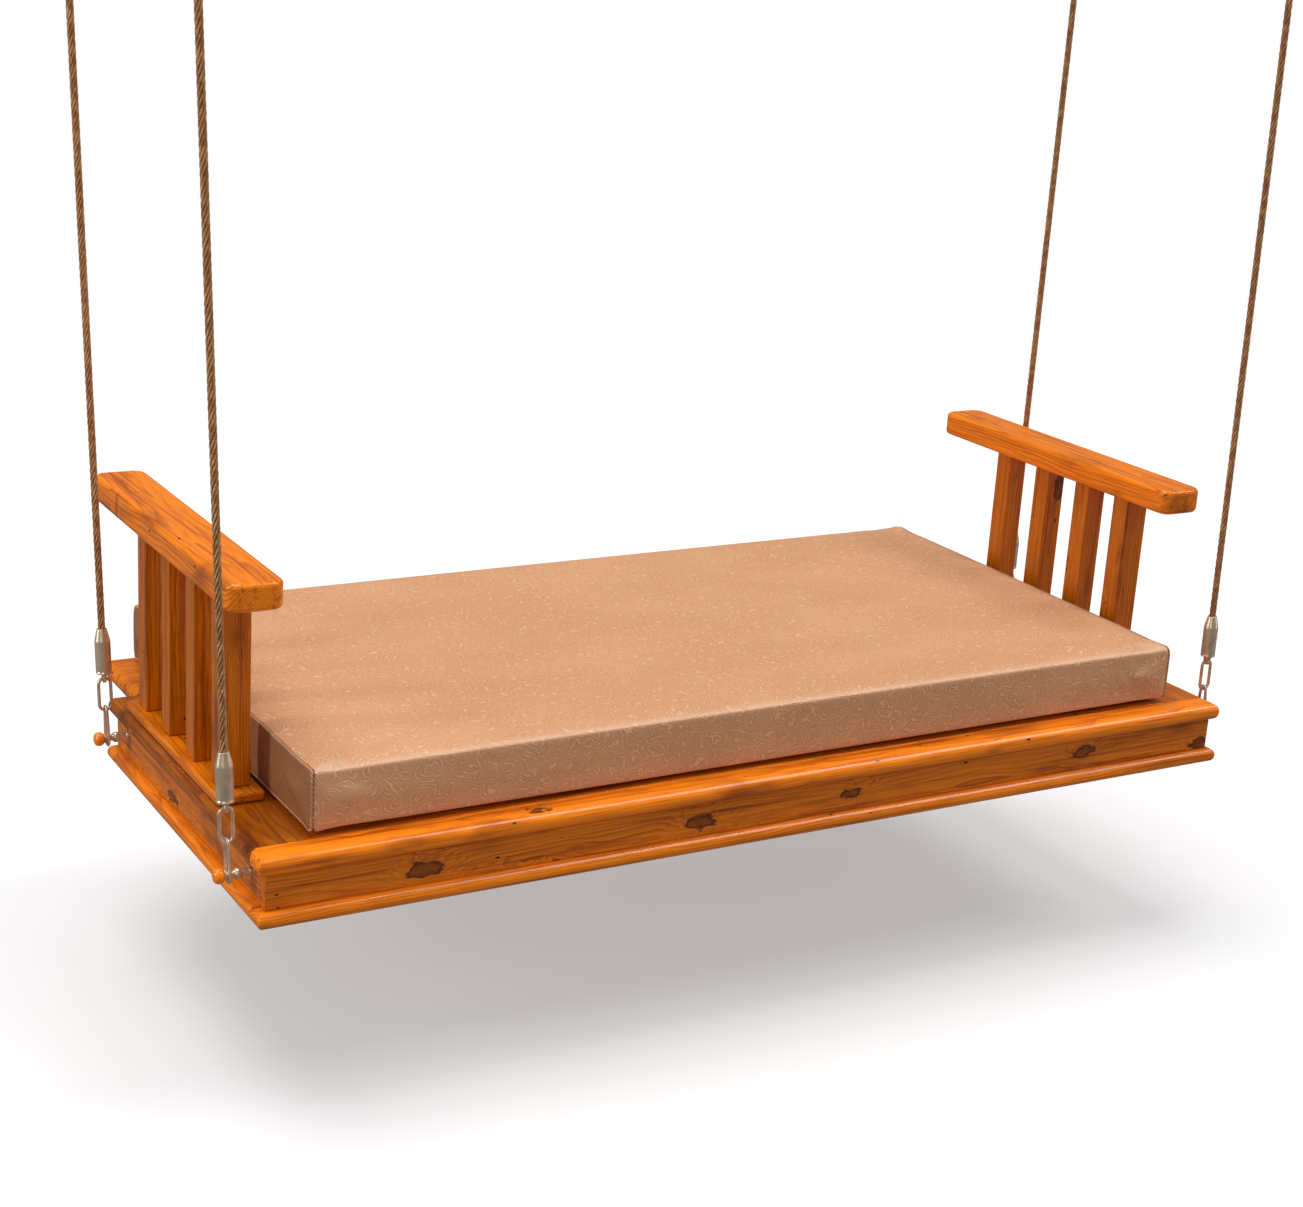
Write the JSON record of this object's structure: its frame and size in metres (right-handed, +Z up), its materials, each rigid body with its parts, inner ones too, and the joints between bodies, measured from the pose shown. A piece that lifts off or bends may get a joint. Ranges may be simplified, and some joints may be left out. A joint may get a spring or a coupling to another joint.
{
  "type": "porch swing",
  "caption": "Hanging daybed swing: a wooden deck with slatted armrests and a removable box cushion, held by wire ropes at its corners.",
  "frame": {"origin": "in the ceiling plane that the top plates are fixed to, over the centre of the wooden frame under the deck", "axes": "+X along the seat to the right-hand armrest, +Y to the back, +Z up"},
  "size_m": [2.2, 0.994, 1.822],
  "materials": {
    "varnished_wood": "gloss",
    "leatherette": "satin",
    "brushed_steel": "satin",
    "wire_rope": "satin"
  },
  "bodies": {
    "ceiling": {"ceiling_plate_fl": "brushed_steel", "ceiling_plate_fr": "brushed_steel", "ceiling_plate_bl": "brushed_steel", "ceiling_plate_br": "brushed_steel"},
    "rope_line_fl": {"top_ferrule_fl": "brushed_steel", "rope_fl": "wire_rope", "ferrule_fl": "brushed_steel", "upper_link_fl": "brushed_steel", "lower_link_fl": "brushed_steel"},
    "rope_line_fr": {"top_ferrule_fr": "brushed_steel", "rope_fr": "wire_rope", "ferrule_fr": "brushed_steel", "upper_link_fr": "brushed_steel", "lower_link_fr": "brushed_steel"},
    "rope_line_bl": {"top_ferrule_bl": "brushed_steel", "rope_bl": "wire_rope", "ferrule_bl": "brushed_steel", "upper_link_bl": "brushed_steel", "lower_link_bl": "brushed_steel"},
    "rope_line_br": {"top_ferrule_br": "brushed_steel", "rope_br": "wire_rope", "ferrule_br": "brushed_steel", "upper_link_br": "brushed_steel", "lower_link_br": "brushed_steel"},
    "platform": {"deck_front": "varnished_wood", "deck_end_l": "varnished_wood", "deck_end_r": "varnished_wood", "seat_panel": "varnished_wood", "rear_ledge": "varnished_wood", "apron_front": "varnished_wood", "apron_back": "varnished_wood", "apron_l": "varnished_wood", "apron_r": "varnished_wood", "moulding_front": "varnished_wood", "moulding_back": "varnished_wood", "moulding_l": "varnished_wood", "moulding_r": "varnished_wood", "joist_l": "varnished_wood", "joist_r": "varnished_wood", "sill_l": "varnished_wood", "slat_l1": "varnished_wood", "slat_l2": "varnished_wood", "slat_l3": "varnished_wood", "slat_l4": "varnished_wood", "arm_board_l": "varnished_wood", "sill_r": "varnished_wood", "slat_r1": "varnished_wood", "slat_r2": "varnished_wood", "slat_r3": "varnished_wood", "slat_r4": "varnished_wood", "arm_board_r": "varnished_wood", "pin_fl": "brushed_steel", "pin_fr": "brushed_steel", "pin_bl": "brushed_steel", "pin_br": "brushed_steel", "knob_fl": "varnished_wood", "knob_fr": "varnished_wood", "knob_bl": "varnished_wood", "knob_br": "varnished_wood"},
    "cushion": {"cushion": "leatherette"}
  },
  "joints": [
    {"name": "swing", "type": "hinge", "parent": "ceiling", "child": "rope_line_fl", "pos_m": [-1.086, -0.318, -0.044], "axis": [1, 0, 0], "range_deg": [-25, 25]},
    {"name": "rope_swing_fr", "type": "hinge", "parent": "ceiling", "child": "rope_line_fr", "pos_m": [0.986, -0.318, -0.044], "axis": [1, 0, 0], "range_deg": [-25, 25]},
    {"name": "rope_swing_bl", "type": "hinge", "parent": "ceiling", "child": "rope_line_bl", "pos_m": [-1.086, 0.318, -0.044], "axis": [1, 0, 0], "range_deg": [-25, 25]},
    {"name": "rope_swing_br", "type": "hinge", "parent": "ceiling", "child": "rope_line_br", "pos_m": [1.024, 0.318, -0.044], "axis": [1, 0, 0], "range_deg": [-25, 25]},
    {"name": "platform_level", "type": "hinge", "parent": "rope_line_fl", "child": "platform", "pos_m": [-1.024, -0.318, -1.751], "axis": [1, 0, 0], "range_deg": [-25, 25]},
    {"name": "cushion_lift", "type": "slide", "parent": "platform", "child": "cushion", "axis": [0, 0, 1], "range_m": [0, 0.45]}
  ],
  "couplings": [
    {"joint": "rope_swing_fr", "follows": "swing", "ratio": 1},
    {"joint": "rope_swing_bl", "follows": "swing", "ratio": 1},
    {"joint": "rope_swing_br", "follows": "swing", "ratio": 1},
    {"joint": "platform_level", "follows": "swing", "ratio": -1}
  ]
}
